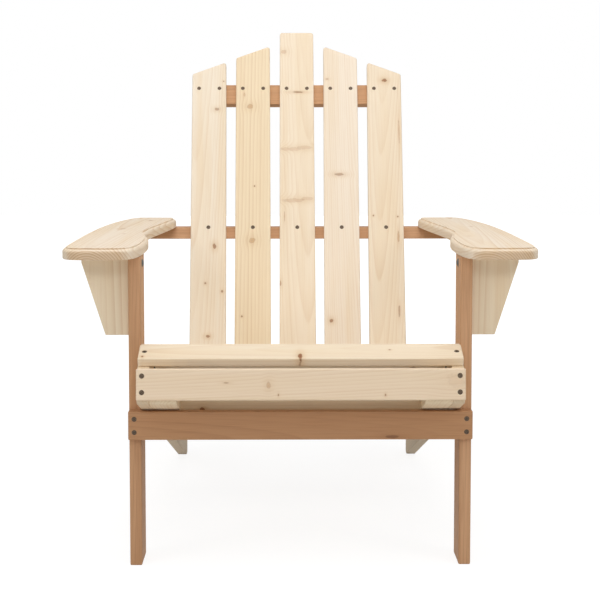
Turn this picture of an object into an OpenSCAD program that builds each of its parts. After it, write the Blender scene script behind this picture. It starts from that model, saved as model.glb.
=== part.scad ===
// A low garden armchair of softwood boards on a hardwood front frame. It has a
// fanned back, a seat that slopes down to the rear, and wide shaped armrests.
//
// +X is to the right as seen from the front, +Y runs rearwards and +Z is up.
// The origin is on the floor, at the middle of the chair's outline.
// Places are worked out in a frame whose Y is 0 at the front faces of the front
// legs, and every piece is then moved by shift_y.

/* [Overall] */
// Clear width between the front legs
seat_width = 502; // [470:1:620]
// Height of the arms' top face
arm_height = 510; // [480:1:640]
// Height of the middle back slat
back_height = 888; // [740:1:1100]
// Slope of the side rails, down to the rear
rail_slope = 18.1; // [15.5:0.1:21]
// Lean of the back from the vertical
back_recline = 27.4; // [20:0.1:32]

/* [Front frame] */
// Thickness of a front leg
leg_thickness = 19; // [16:0.5:30]
// Depth of a front leg, front to back
leg_depth = 65; // [54:1:90]
// Height of the board across the legs
apron_height = 45; // [38:1:60]
// Thickness of the board across the legs
apron_thickness = 16; // [12:0.5:25]
// Height of that board's top edge, where the side rails rest
apron_top = 250; // [208:1:300]

/* [Side rails] */
// Thickness of a side rail
rail_thickness = 19; // [16:0.5:30]
// Width of the side rail plank
rail_width = 85; // [70:1:104]
// Length of the flat under the rail's rear end, which stands on the floor
heel_flat = 9; // [6:1:30]
// Distance of the seat's highest line in front of the legs' front faces
peak_forward = 10; // [4:1:25]
// Tilt of the waterfall slat, down to the front
waterfall_tilt = 20; // [12:0.1:26]
// Lean of the front slat from the vertical
front_lean = 6; // [0:0.5:12]
// Radius of the rail's nose under the front slat
nose_radius = 12; // [6:0.5:18]
// Radius of the rail's rear lower corner
heel_radius = 8; // [4:0.5:14]
// Thickness of the block inside each nose
nose_block_thickness = 42; // [34:1:60]
// Width of the nose block's board
nose_block_width = 45; // [36:1:56]
// Distance from the leg's front face to the board behind the apron
cross_rail_setback = 15; // [8:1:19]

/* [Seat slats] */
// Number of slats behind the waterfall slat
seat_count = 9; // [7:1:10]
// Width of a seat slat
seat_slat_width = 45; // [36:0.5:55]
// Width of the upright front slat
front_slat_width = 48; // [40:0.5:60]
// Thickness of a seat slat
seat_slat_thickness = 14; // [11:0.5:20]
// Gap between two seat slats
seat_slat_gap = 8; // [2:0.5:12]
// Gap between the last seat slat and the back slats
seat_back_gap = 5.5; // [2:0.5:12]
// Length of rail left bare between the waterfall slat and the nose
nose_gap = 17.4; // [15:0.1:24]
// Rise of the front slat above the rail's nose
front_slat_rise = 6; // [0:0.5:10]
// Gap between a seat slat's end and the leg
slat_end_gap = 0.5; // [0.2:0.1:2]

/* [Back] */
// Height at which the slats' spacing is measured
back_datum_height = 283; // [240:1:330]
// Width of a back slat
back_slat_width = 70; // [58:0.5:84]
// Thickness of a back slat
back_slat_thickness = 15; // [12:0.5:20]
// Distance from a side rail's inner face to the outer slat's centre, at that height
outer_slat_inset = 59.6; // [50:0.1:62]
// Angle between neighbouring slats
fan_angle = 0.42; // [0:0.01:0.6]
// Length of the slats below the lower back rail
slat_foot_length = 18; // [6:1:24]
// Drop from the middle slat's end to the high corner of slats 2 and 4, along the slat
inner_drop = 33; // [10:1:60]
// Drop from the middle slat's end to the high corner of slats 1 and 5, along the slat
outer_drop = 71; // [40:1:110]
// Fall of a slanted end across the slat, along the slat
top_fall = 27.5; // [0:0.5:40]
// Radius of the corners at a slat's upper end
slat_corner = 5; // [2:0.5:10]
// Width of the two battens that carry the back slats
batten_width = 45; // [38:1:60]
// Rise of the top batten's screws above its middle
batten_screw_rise = 6.5; // [0:0.5:10]
// Thickness of the top batten
batten_thickness = 15; // [12:0.5:22]
// Distance of the top batten's ends inside the outer slats' edges
batten_inset = 5.3; // [2:0.1:8]
// Distance of the top batten's centre below the middle slat's end, along the slat
batten_drop = 139; // [125:1:160]
// Thickness of the lower back rail
lower_rail_thickness = 19; // [16:0.5:30]
// Depth of the lower rail's middle below the side rails' top edges, past half its width
lower_rail_cover = 14.5; // [10:0.5:20]

/* [Arms] */
// Greatest width of an arm, from the leg's inner face outwards
arm_width = 119; // [108:1:150]
// Thickness of an arm
arm_thickness = 18; // [15:0.5:25]
// Depth of the routed step along the arm's edge
arm_step_depth = 7; // [3:0.5:10]
// Width of the routed step along the arm's edge
arm_step_width = 6; // [2:0.5:8]
// Overhang of the arms in front of the legs
arm_overhang = 60; // [40:1:90]
// Height of the rail that carries the arms' rear ends
arm_rail_height = 22; // [18:0.5:30]
// Depth of that rail on its top face
arm_rail_depth = 34; // [30:1:50]
// Reach of that rail beyond the legs' inner faces
arm_rail_reach = 49; // [44:1:58]
// Distance from the arms' rear ends to that rail's rear face
arm_rear_inset = 3; // [1:0.5:8]
// Depth of the slat screws below that rail's front top edge
arm_rail_screw_drop = 6; // [5:0.5:9]
// Depth of the bracket bolts below the brackets' tops
bracket_bolt_drop = 13; // [11:0.5:20]
// Thickness of the brackets under the arms
bracket_thickness = 18; // [15:0.5:25]
// Height of a bracket
bracket_height = 127; // [100:1:160]
// Reach of a bracket at its top
bracket_reach = 76; // [70:1:80]
// Reach of a bracket at its bottom
bracket_foot = 39; // [25:1:55]
// Height of the upright lip at the bracket's outer end
bracket_lip = 12; // [6:1:25]

/* [Fasteners] */
// Shank diameter of the wood screws
screw_diameter = 4; // [3.5:0.1:5]
// Head diameter of the wood screws
screw_head = 8; // [7:0.1:9]
// Depth of a screw head below the wood's face
head_sink = 0.3; // [0:0.1:1]
// Radial clearance round screws, bolts and dowels
hole_clearance = 0.1; // [0.05:0.05:0.4]
// Shank diameter of the bolts
bolt_diameter = 6; // [5:0.5:8]
// Diameter of the bolts' domed heads
bolt_head = 14; // [12:0.5:18]
// Height of the bolts' domed heads
bolt_head_height = 3; // [2:0.5:5]
// Outer diameter of the washers
washer_diameter = 18; // [16:0.5:24]
// Thickness of the washers
washer_thickness = 1.5; // [1:0.1:2.5]
// Outer diameter of the threaded inserts in the legs
insert_diameter = 10; // [8.5:0.5:12]
// Length of the threaded inserts
insert_length = 13; // [10:0.5:15]
// Diameter of the dowels
dowel_diameter = 8; // [6:0.5:10]
// Length of the dowels
dowel_length = 30; // [24:1:36]
// Depth of the dowel holes in the arm
dowel_in_arm = 12; // [8:1:14]

/* [Hidden] */
$fn = 48;
eps = 0.01;
sides = [-1, 1];

// Places of screws and bolts on their boards: margins in millimetres, and shares
// of a board's width or height
edge_margin = 12;
dowel_margin = 10;
washer_gap = 2.5;
pair_share = 0.3;
front_screw_shares = [0.22, 0.74];
block_screw_places = [-32, -6];
cross_screw_rises = [edge_margin, 30];

// Widths across the chair
leg_inner = seat_width / 2;
leg_outer = leg_inner + leg_thickness;
leg_centre = leg_inner + leg_thickness / 2;
rail_inner = leg_inner - rail_thickness;
rail_centre = leg_inner - rail_thickness / 2;
slat_length = seat_width - 2 * slat_end_gap;

// Side rail: its lower edge crosses the apron's top at Y = 0
slope = tan(rail_slope);
rail_rise = rail_width / cos(rail_slope);
function rail_under(y) = apron_top - slope * y;
function rail_over(y) = rail_under(y) + rail_rise;
floor_y = apron_top / slope;
rail_rear = floor_y + heel_flat + heel_radius;
cross_rail_bottom = rail_under(cross_rail_setback + rail_thickness);

// Seat: the peak, the waterfall facet and the nose, as points [y, z]
peak = [-peak_forward, rail_over(-peak_forward)];
waterfall_run = [-cos(waterfall_tilt), -sin(waterfall_tilt)];
waterfall_up = [-sin(waterfall_tilt), cos(waterfall_tilt)];
nose_top = peak + (seat_slat_width + nose_gap) * waterfall_run;
nose_down = [-sin(front_lean), -cos(front_lean)];
nose_out = [-cos(front_lean), sin(front_lean)];
nose_drop = (nose_top[1] - rail_under(nose_top[0]))
    / (cos(front_lean) + slope * sin(front_lean));
nose_corner = nose_top + nose_drop * nose_down;
rail_run = [cos(rail_slope), -sin(rail_slope)];
rail_up = [sin(rail_slope), cos(rail_slope)];
nose_arc_centre = nose_corner
    + nose_radius / tan((90 - front_lean + rail_slope) / 2) * -nose_down
    - nose_radius * nose_out;
first_slat_offset = seat_slat_gap / 2;
seat_pitch = seat_slat_width + seat_slat_gap;
seat_end = peak + (first_slat_offset + seat_count * seat_pitch - seat_slat_gap) * rail_run;

// Back: its front face clears the last seat slat, and distances v run up that
// face from the datum height
back_run = [sin(back_recline), cos(back_recline)];
back_in = [cos(back_recline), -sin(back_recline)];
seat_end_reach = max(seat_end * back_in, (seat_end + seat_slat_thickness * rail_up) * back_in);
back_datum_y = (seat_end_reach + seat_back_gap + back_datum_height * sin(back_recline))
    / cos(back_recline);
back_datum = [back_datum_y, back_datum_height];
function back_v(z) = (z - back_datum_height) / cos(back_recline);
back_pitch = (rail_inner - outer_slat_inset) / 2;
function slat_centre(number, v) =
    (number - 3) * back_pitch + v * tan((number - 3) * fan_angle);
slat_top = back_v(back_height);
batten_v = slat_top - batten_drop;
batten_length = 2 * (slat_centre(5, batten_v) + back_slat_width / 2 - batten_inset);
top_screw_v = batten_v + batten_screw_rise;
screw_spread = pair_share * back_slat_width;

// Lower back rail: its middle lies a set depth under the side rails' top edges
lower_rail_depth = back_slat_thickness + lower_rail_thickness / 2;
lower_rail_sink = batten_width / 2 + lower_rail_cover;
lower_rail_middle = back_datum + lower_rail_depth * back_in;
lower_rail_v = (rail_over(lower_rail_middle[0]) - lower_rail_sink - lower_rail_middle[1])
    / (cos(back_recline) + slope * sin(back_recline));
lower_screw_spread = pair_share * batten_width;
slat_foot = lower_rail_v - batten_width / 2 - slat_foot_length;
back_slot = [1, 2, 3, 4, 5];
slat_drops = [outer_drop, inner_drop, 0, inner_drop, outer_drop];

// Arms and what carries them
arm_outer = leg_inner + arm_width;
arm_rail_length = 2 * (leg_inner + arm_rail_reach);
leg_height = arm_height - arm_thickness;
arm_rail_top_v = back_v(leg_height + back_slat_thickness * sin(back_recline));
arm_rail_front = back_datum + arm_rail_top_v * back_run + back_slat_thickness * back_in;
arm_rail_under_y = arm_rail_front[0] - arm_rail_height * tan(back_recline);
arm_rail_rear = arm_rail_front[0] + arm_rail_depth;
arm_rear = arm_rail_rear - arm_rear_inset;
arm_length = arm_rear + arm_overhang;
arm_screw_v = arm_rail_top_v - arm_rail_screw_drop;
bracket_y = leg_depth / 2;
bracket_bolt_grip = 38;
bracket_bolt_length = leg_thickness + bracket_bolt_grip;
dowel_places = [leg_outer + bracket_bolt_grip + dowel_diameter,
                leg_outer + bracket_reach - dowel_margin];
dowel_in_bracket = dowel_length - dowel_in_arm;
arm_end_places = [leg_inner + edge_margin, leg_inner + 3 * edge_margin];
arm_end_screw_y = arm_rail_rear - arm_rail_depth / 2;
bracket_bolt_z = leg_height - bracket_bolt_drop;

// Screw and bolt lengths
apron_screw_length = 50;
seat_screw_length = 45;
back_screw_length = 27;
arm_rail_screw_length = 34;
rail_end_screw_length = 50;
block_screw_bite = 13;
block_screw_length = nose_block_thickness + block_screw_bite;
arm_end_cover = 6;
arm_end_screw_length = arm_rail_height + arm_thickness - arm_end_cover;
screw_tip = 4;
leg_bolt_length = rail_thickness + insert_length + washer_thickness;

leg_bolt_places = [
    [pair_share * leg_depth, (1 - pair_share) * rail_rise],
    [cross_rail_setback + rail_thickness + washer_diameter / 2 + washer_gap,
     pair_share * rail_rise]
];

// The outline's front is the front slat's lower edge or the arms' front ends,
// and its rear is the middle slat's upper end or the rails' heels
front_slat_back_top = nose_top - front_slat_rise * nose_down;
front_slat_toe = front_slat_back_top + front_slat_width * nose_down
    + seat_slat_thickness * nose_out;
back_top_rear = back_datum + slat_top * back_run + back_slat_thickness * back_in;
outline_front = min(front_slat_toe[0], -arm_overhang);
outline_rear = max(back_top_rear[0], rail_rear);
shift_y = -(outline_front + outline_rear) / 2;

SEAT_NAMES = [for (i = [1:seat_count + 1]) str("seat_slat_", i)];
BACK_NAMES = [for (i = back_slot) str("back_slat_", i)];

pine = "#e6d2b3";
shaded_pine = "#cdb28c";
hardwood = "#a5714d";
screw_metal = "#5a4a3c";
bright_metal = "#9a9a98";
beech = "#d8b98c";

// ---------- Shared shapes ----------

// Points of an arc round a centre
function arc(centre, r, from, to, steps = 6) =
    [for (i = [0:steps]) centre + r * [cos(from + (to - from) * i / steps),
                                       sin(from + (to - from) * i / steps)]];

// Moves the chair so that the origin is at the middle of its outline
module place() {
    translate([0, shift_y, 0]) children();
}

// Stands a profile drawn in [y, z] upright, from X = low to X = high
module across(low, high) {
    translate([low, 0, 0])
        rotate([90, 0, 90])
            linear_extrude(height = high - low) children();
}

// Puts children at a [y, z] point with +Z turned to the direction [dy, dz]
module aim(x, point, direction) {
    translate([x, point[0], point[1]])
        rotate([atan2(direction[1], direction[0]) - 90, 0, 0])
            children();
}

// A countersunk wood screw: its head's face is at Z = 0 and its point is up +Z
module wood_screw(length) {
    head_depth = (screw_head - screw_diameter) / 2;
    translate([0, 0, head_sink])
        rotate_extrude()
            polygon([[0, 0], [screw_head / 2, 0], [screw_diameter / 2, head_depth],
                     [screw_diameter / 2, length - head_sink - screw_tip],
                     [0, length - head_sink]]);
}

// The hole for that screw, through every board on its way
module screw_hole(length) {
    head_depth = (screw_head - screw_diameter) / 2;
    bore = screw_diameter / 2 + hole_clearance;
    mouth = screw_head / 2 + hole_clearance;
    translate([0, 0, -1]) cylinder(h = length + 1 + hole_clearance, r = bore);
    translate([0, 0, -1]) cylinder(h = 1 + head_sink, r = mouth);
    translate([0, 0, head_sink - eps])
        cylinder(h = head_depth + eps, r1 = mouth, r2 = bore);
}

// A bolt with a domed head, seated at Z = 0 with its shank up +Z
module domed_bolt(length) {
    radius = ((bolt_head / 2) * (bolt_head / 2) + bolt_head_height * bolt_head_height)
        / (2 * bolt_head_height);
    spread = asin(bolt_head / 2 / radius);
    dome = [for (i = [0:8]) [radius * sin(spread * i / 8),
                             radius - bolt_head_height - radius * cos(spread * i / 8)]];
    rotate_extrude()
        polygon(concat(dome, [[bolt_diameter / 2, 0], [bolt_diameter / 2, length], [0, length]]));
}

// ---------- Places of the fasteners ----------

module at_apron_screws() {
    for (side = sides, z = [apron_top - edge_margin, apron_top - apron_height + edge_margin])
        aim(side * leg_centre, [-apron_thickness, z], [1, 0]) children();
}

module at_front_slat_screws() {
    for (side = sides, along = front_screw_shares)
        aim(side * rail_centre,
            front_slat_back_top + along * front_slat_width * nose_down
                + seat_slat_thickness * nose_out,
            -nose_out) children();
}

// Slat 1 lies on the waterfall facet and the rest lie on the slope behind the peak
module at_seat_screw(number) {
    for (side = sides) {
        if (number == 1)
            aim(side * rail_centre,
                peak + seat_slat_width / 2 * waterfall_run
                    + seat_slat_thickness * waterfall_up,
                -waterfall_up) children();
        else
            aim(side * rail_centre,
                peak + (first_slat_offset + (number - 2) * seat_pitch
                    + seat_slat_width / 2) * rail_run + seat_slat_thickness * rail_up,
                -rail_up) children();
    }
}

module at_seat_screws() {
    for (number = [1:seat_count + 1]) at_seat_screw(number) children();
}

// The block's screws run outwards from its inner face into the side rail
module at_nose_block_screws() {
    for (side = sides, y = block_screw_places)
        translate([side * (rail_inner - nose_block_thickness), y,
                   rail_under(y) + nose_block_width / 2])
            rotate([0, side * 90, 0]) children();
}

// These run inwards from the rail's outer face into the end of the cross rail
module at_cross_rail_screws() {
    y = cross_rail_setback + rail_thickness / 2;
    for (side = sides, rise = cross_screw_rises)
        translate([side * leg_inner, y, rail_under(y) + rise])
            rotate([0, -side * 90, 0]) children();
}

// Stands children on a back slat's front face, v up from the datum, facing inwards
module at_back(number, along, v) {
    aim(slat_centre(number, v) + along, back_datum + v * back_run, back_in) children();
}

module at_top_batten_screws() {
    for (number = back_slot, along = [-screw_spread, screw_spread])
        at_back(number, along, top_screw_v) children();
}

module at_arm_rail_screws() {
    for (number = back_slot) at_back(number, 0, arm_screw_v) children();
}

module at_lower_rail_slat_screws() {
    for (number = back_slot, along = [-screw_spread, screw_spread])
        at_back(number, along, lower_rail_v) children();
}

module at_lower_rail_end_screws() {
    middle = lower_rail_middle + lower_rail_v * back_run;
    for (side = sides, along = [-lower_screw_spread, lower_screw_spread])
        translate([side * leg_inner, middle[0] + along * back_run[0],
                   middle[1] + along * back_run[1]])
            rotate([0, -side * 90, 0]) children();
}

module at_arm_end_screws() {
    for (side = sides, x = arm_end_places)
        translate([side * x, arm_end_screw_y, leg_height - arm_rail_height]) children();
}

module at_arm_dowels() {
    for (side = sides, x = dowel_places)
        translate([side * x, bracket_y, leg_height - dowel_in_bracket]) children();
}

module at_bracket_bolts() {
    for (side = sides)
        translate([side * leg_inner, bracket_y, bracket_bolt_z])
            rotate([0, side * 90, 0]) children();
}

module at_leg_bolts() {
    for (side = sides, place = leg_bolt_places)
        translate([side * rail_inner, place[0], rail_under(place[0]) + place[1]])
            rotate([0, side * 90, 0]) children();
}

// ---------- Front frame ----------

module front_leg(side) {
    color(hardwood) place() difference() {
        translate([side * leg_centre - leg_thickness / 2, 0, 0])
            cube([leg_thickness, leg_depth, leg_height]);
        at_apron_screws() screw_hole(apron_screw_length);
        at_bracket_bolts() bolt_hole(bracket_bolt_length);
        at_leg_bolts() translate([0, 0, rail_thickness - eps])
            cylinder(h = insert_length + hole_clearance + eps,
                     d = insert_diameter + 2 * hole_clearance);
    }
}

module bolt_hole(length) {
    translate([0, 0, -1])
        cylinder(h = length + 1 + hole_clearance, d = bolt_diameter + 2 * hole_clearance);
}

module front_apron() {
    color(hardwood) place() difference() {
        translate([-leg_outer, -apron_thickness, apron_top - apron_height])
            cube([2 * leg_outer, apron_thickness, apron_height]);
        at_apron_screws() screw_hole(apron_screw_length);
    }
}

module front_cross_rail() {
    color(shaded_pine) place() difference() {
        translate([-rail_inner, cross_rail_setback, cross_rail_bottom])
            cube([2 * rail_inner, rail_thickness, apron_height]);
        at_cross_rail_screws() screw_hole(rail_end_screw_length);
    }
}

// ---------- Side rails ----------

// The plank's outline from its peak, round the nose and along the floor to the heel
rail_outline = concat(
    [peak, nose_top],
    arc(nose_arc_centre, nose_radius, 180 - front_lean, 270 - rail_slope),
    [[floor_y, 0]],
    arc([rail_rear - heel_radius, heel_radius], heel_radius, 270, 360),
    [[rail_rear, rail_over(rail_rear)]]
);

module side_rail(side) {
    low = side > 0 ? rail_inner : -leg_inner;
    color(pine) place() difference() {
        across(low, low + rail_thickness) polygon(rail_outline);
        at_front_slat_screws() screw_hole(seat_screw_length);
        at_seat_screws() screw_hole(seat_screw_length);
        at_nose_block_screws() screw_hole(block_screw_length);
        at_cross_rail_screws() screw_hole(rail_end_screw_length);
        at_lower_rail_end_screws() screw_hole(rail_end_screw_length);
        at_leg_bolts() bolt_hole(leg_bolt_length);
    }
}

// An offcut inside the nose, with its lower edge along the rail's
module nose_block(side) {
    low = side > 0 ? rail_inner - nose_block_thickness : -rail_inner;
    block_top = nose_block_width / cos(rail_slope);
    front_top = nose_top[1] - rail_under(nose_top[0]) - block_top;
    start = nose_top + front_top / (cos(front_lean) + slope * sin(front_lean)) * nose_down;
    color(shaded_pine) place() difference() {
        across(low, low + nose_block_thickness)
            polygon(concat(
                [start],
                arc(nose_arc_centre, nose_radius, 180 - front_lean, 270 - rail_slope),
                [[cross_rail_setback, rail_under(cross_rail_setback)],
                 [cross_rail_setback, rail_under(cross_rail_setback) + block_top]]
            ));
        at_nose_block_screws() screw_hole(block_screw_length);
    }
}

// ---------- Seat ----------

module front_slat() {
    color(pine) place() difference() {
        across(-slat_length / 2, slat_length / 2)
            polygon([front_slat_back_top,
                     front_slat_back_top + front_slat_width * nose_down,
                     front_slat_toe,
                     front_slat_back_top + seat_slat_thickness * nose_out]);
        at_front_slat_screws() screw_hole(seat_screw_length);
    }
}

// Slat 1 tips forward over the front edge; the others lie one behind another
module seat_slat(number) {
    start = number == 1 ? peak
        : peak + (first_slat_offset + (number - 2) * seat_pitch) * rail_run;
    run = number == 1 ? waterfall_run : rail_run;
    up = number == 1 ? waterfall_up : rail_up;
    color(pine) place() difference() {
        across(-slat_length / 2, slat_length / 2)
            polygon([start, start + seat_slat_width * run,
                     start + seat_slat_width * run + seat_slat_thickness * up,
                     start + seat_slat_thickness * up]);
        at_seat_screw(number) screw_hole(seat_screw_length);
    }
}

// ---------- Back ----------

// A slat's outline in its own plane: X across it and Y up it from the datum
module back_slat_outline(number) {
    half = back_slat_width / 2;
    high = slat_top - slat_drops[number - 1];
    left_top = number == 3 ? high : number < 3 ? high - top_fall : high;
    right_top = number == 3 ? high : number < 3 ? high : high - top_fall;
    lean = atan2(right_top - left_top, back_slat_width);
    inset_right = slat_corner * tan(45 + lean / 2);
    inset_left = slat_corner * tan(45 - lean / 2);
    polygon(concat(
        [[-half, slat_foot], [half, slat_foot]],
        arc([half - slat_corner, right_top - inset_right], slat_corner, 0, 90 + lean),
        arc([-half + slat_corner, left_top - inset_left], slat_corner, 90 + lean, 180)
    ));
}

module back_slat(number) {
    offset = number - 3;
    color(pine) place() difference() {
        translate([slat_centre(number, 0), back_datum[0], back_datum[1]])
            rotate([90 - back_recline, 0, 0])
                rotate([0, 0, -offset * fan_angle])
                    translate([0, 0, -back_slat_thickness])
                        linear_extrude(height = back_slat_thickness)
                            back_slat_outline(number);
        at_top_batten_screws() screw_hole(back_screw_length);
        at_arm_rail_screws() screw_hole(arm_rail_screw_length);
        at_lower_rail_slat_screws() screw_hole(back_screw_length);
    }
}

// A board flat against the back of the slats, centred v up from the datum
module back_board(length, thickness, v) {
    point = back_datum + v * back_run + back_slat_thickness * back_in;
    translate([-length / 2, point[0], point[1]])
        rotate([90 - back_recline, 0, 0])
            translate([0, -batten_width / 2, -thickness])
                cube([length, batten_width, thickness]);
}

module top_batten() {
    color(hardwood) place() difference() {
        back_board(batten_length, batten_thickness, batten_v);
        at_top_batten_screws() screw_hole(back_screw_length);
    }
}

module lower_back_rail() {
    color(hardwood) place() difference() {
        back_board(2 * rail_inner, lower_rail_thickness, lower_rail_v);
        at_lower_rail_slat_screws() screw_hole(back_screw_length);
        at_lower_rail_end_screws() screw_hole(rail_end_screw_length);
    }
}

// Its front face is bevelled to lie against the slats
module arm_rail() {
    color(hardwood) place() difference() {
        across(-arm_rail_length / 2, arm_rail_length / 2)
            polygon([[arm_rail_under_y, leg_height - arm_rail_height],
                     [arm_rail_rear, leg_height - arm_rail_height],
                     [arm_rail_rear, leg_height],
                     [arm_rail_front[0], leg_height]]);
        at_arm_rail_screws() screw_hole(arm_rail_screw_length);
        at_arm_end_screws() screw_hole(arm_end_screw_length);
    }
}

// ---------- Arms ----------

// The right arm's edge, front to rear and back: [share of the arm's length, inset].
// Inner insets count outwards from the leg's inner face, and outer ones inwards
// from the arm's greatest width.
arm_inner_edge = [[0, 36], [0.008, 20], [0.03, 7], [0.09, 0], [0.17, -2], [0.26, -1],
                  [0.34, 4], [0.42, 13], [0.48, 17], [0.54, 16], [0.62, 12], [0.71, 5],
                  [0.82, -3], [0.92, -9], [0.965, -10], [0.993, -3], [1, 12]];
arm_outer_edge = [[1, 58], [0.985, 44], [0.93, 32], [0.83, 19], [0.7, 9], [0.56, 3.4],
                  [0.4, 0.6], [0.22, 0], [0.09, 0.3], [0.045, 2.5], [0.016, 10], [0.004, 24],
                  [0, 46]];
arm_points = concat(
    [for (p = arm_inner_edge) [leg_inner + p[1], p[0] * arm_length - arm_overhang]],
    [for (p = arm_outer_edge) [arm_outer - p[1], p[0] * arm_length - arm_overhang]]
);
arm_edge_steps = 4;

// A smooth closed curve through the points
function between(a, b, c, d, t) =
    b + 0.5 * t * (c - a + t * (2 * a - 5 * b + 4 * c - d + t * (3 * (b - c) + d - a)));
function smooth_loop(points, steps) = let (n = len(points))
    [for (i = [0:n - 1], s = [0:steps - 1])
        between(points[(i + n - 1) % n], points[i], points[(i + 1) % n],
                points[(i + 2) % n], s / steps)];

// The loop, which runs clockwise, moved inwards by a distance
function inward(loop, distance) = let (n = len(loop))
    [for (i = [0:n - 1]) let (
        along = loop[(i + 1) % n] - loop[(i + n - 1) % n],
        normal = [along[1], -along[0]] / norm(along)
    ) loop[i] + distance * normal];

arm_loop = smooth_loop(arm_points, arm_edge_steps);

module arm(side) {
    color(pine) place() difference() {
        mirror([side > 0 ? 0 : 1, 0, 0]) {
            translate([0, 0, leg_height])
                linear_extrude(height = arm_thickness - arm_step_depth) polygon(arm_loop);
            translate([0, 0, leg_height + arm_thickness - arm_step_depth - eps])
                linear_extrude(height = arm_step_depth + eps)
                    polygon(inward(arm_loop, arm_step_width));
        }
        at_arm_dowels() dowel_hole();
        at_arm_end_screws() screw_hole(arm_end_screw_length);
    }
}

module dowel_hole() {
    translate([0, 0, -hole_clearance])
        cylinder(h = dowel_length + 2 * hole_clearance,
                 d = dowel_diameter + 2 * hole_clearance);
}

module arm_bracket(side) {
    color(pine) place() difference() {
        mirror([side > 0 ? 0 : 1, 0, 0])
            translate([leg_outer, bracket_y + bracket_thickness / 2, leg_height])
                rotate([90, 0, 0])
                    linear_extrude(height = bracket_thickness)
                        polygon([[0, 0], [0, -bracket_height],
                                 [bracket_foot, -bracket_height],
                                 [bracket_reach, -bracket_lip], [bracket_reach, 0]]);
        at_arm_dowels() dowel_hole();
        at_bracket_bolts() bolt_hole(bracket_bolt_length);
    }
}

// ---------- Fasteners ----------

module apron_screws() {
    color(screw_metal) place() at_apron_screws() wood_screw(apron_screw_length);
}

module front_slat_screws() {
    color(screw_metal) place() at_front_slat_screws() wood_screw(seat_screw_length);
}

module seat_slat_screws() {
    color(screw_metal) place() at_seat_screws() wood_screw(seat_screw_length);
}

module nose_block_screws() {
    color(screw_metal) place() at_nose_block_screws() wood_screw(block_screw_length);
}

module cross_rail_screws() {
    color(screw_metal) place() at_cross_rail_screws() wood_screw(rail_end_screw_length);
}

module top_batten_screws() {
    color(screw_metal) place() at_top_batten_screws() wood_screw(back_screw_length);
}

module arm_rail_screws() {
    color(screw_metal) place() at_arm_rail_screws() wood_screw(arm_rail_screw_length);
}

module lower_rail_slat_screws() {
    color(screw_metal) place() at_lower_rail_slat_screws() wood_screw(back_screw_length);
}

module lower_rail_end_screws() {
    color(screw_metal) place() at_lower_rail_end_screws() wood_screw(rail_end_screw_length);
}

module arm_end_screws() {
    color(screw_metal) place() at_arm_end_screws() wood_screw(arm_end_screw_length);
}

module arm_dowels() {
    color(beech) place() at_arm_dowels() cylinder(h = dowel_length, d = dowel_diameter);
}

module bracket_bolts() {
    color(bright_metal) place() at_bracket_bolts() domed_bolt(bracket_bolt_length);
}

module leg_bolts() {
    color(bright_metal) place() at_leg_bolts()
        translate([0, 0, -washer_thickness]) domed_bolt(leg_bolt_length);
}

module leg_washers() {
    color(bright_metal) place() at_leg_bolts()
        translate([0, 0, -washer_thickness]) difference() {
            cylinder(h = washer_thickness, d = washer_diameter);
            translate([0, 0, -1])
                cylinder(h = washer_thickness + 2, d = bolt_diameter + 2 * hole_clearance);
        }
}

module leg_inserts() {
    color(bright_metal) place() at_leg_bolts()
        translate([0, 0, rail_thickness]) difference() {
            cylinder(h = insert_length, d = insert_diameter);
            translate([0, 0, -1])
                cylinder(h = insert_length + 2, d = bolt_diameter + 2 * hole_clearance);
        }
}

front_leg(-1);  // front_leg_left
front_leg(1);  // front_leg_right
front_apron();
front_cross_rail();
side_rail(-1);  // side_rail_left
side_rail(1);  // side_rail_right
nose_block(-1);  // nose_block_left
nose_block(1);  // nose_block_right
front_slat();
for (i = [1:seat_count + 1])
    seat_slat(i);
for (i = back_slot)
    back_slat(i);
top_batten();
arm_rail();
lower_back_rail();
arm_bracket(-1);  // arm_bracket_left
arm_bracket(1);  // arm_bracket_right
arm(-1);  // arm_left
arm(1);  // arm_right
apron_screws();
front_slat_screws();
seat_slat_screws();
nose_block_screws();
cross_rail_screws();
top_batten_screws();
arm_rail_screws();
lower_rail_slat_screws();
lower_rail_end_screws();
arm_end_screws();
arm_dowels();
bracket_bolts();
leg_bolts();
leg_washers();
leg_inserts();
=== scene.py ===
import math
import random

import bpy
from mathutils import Euler, Matrix, Vector


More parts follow.
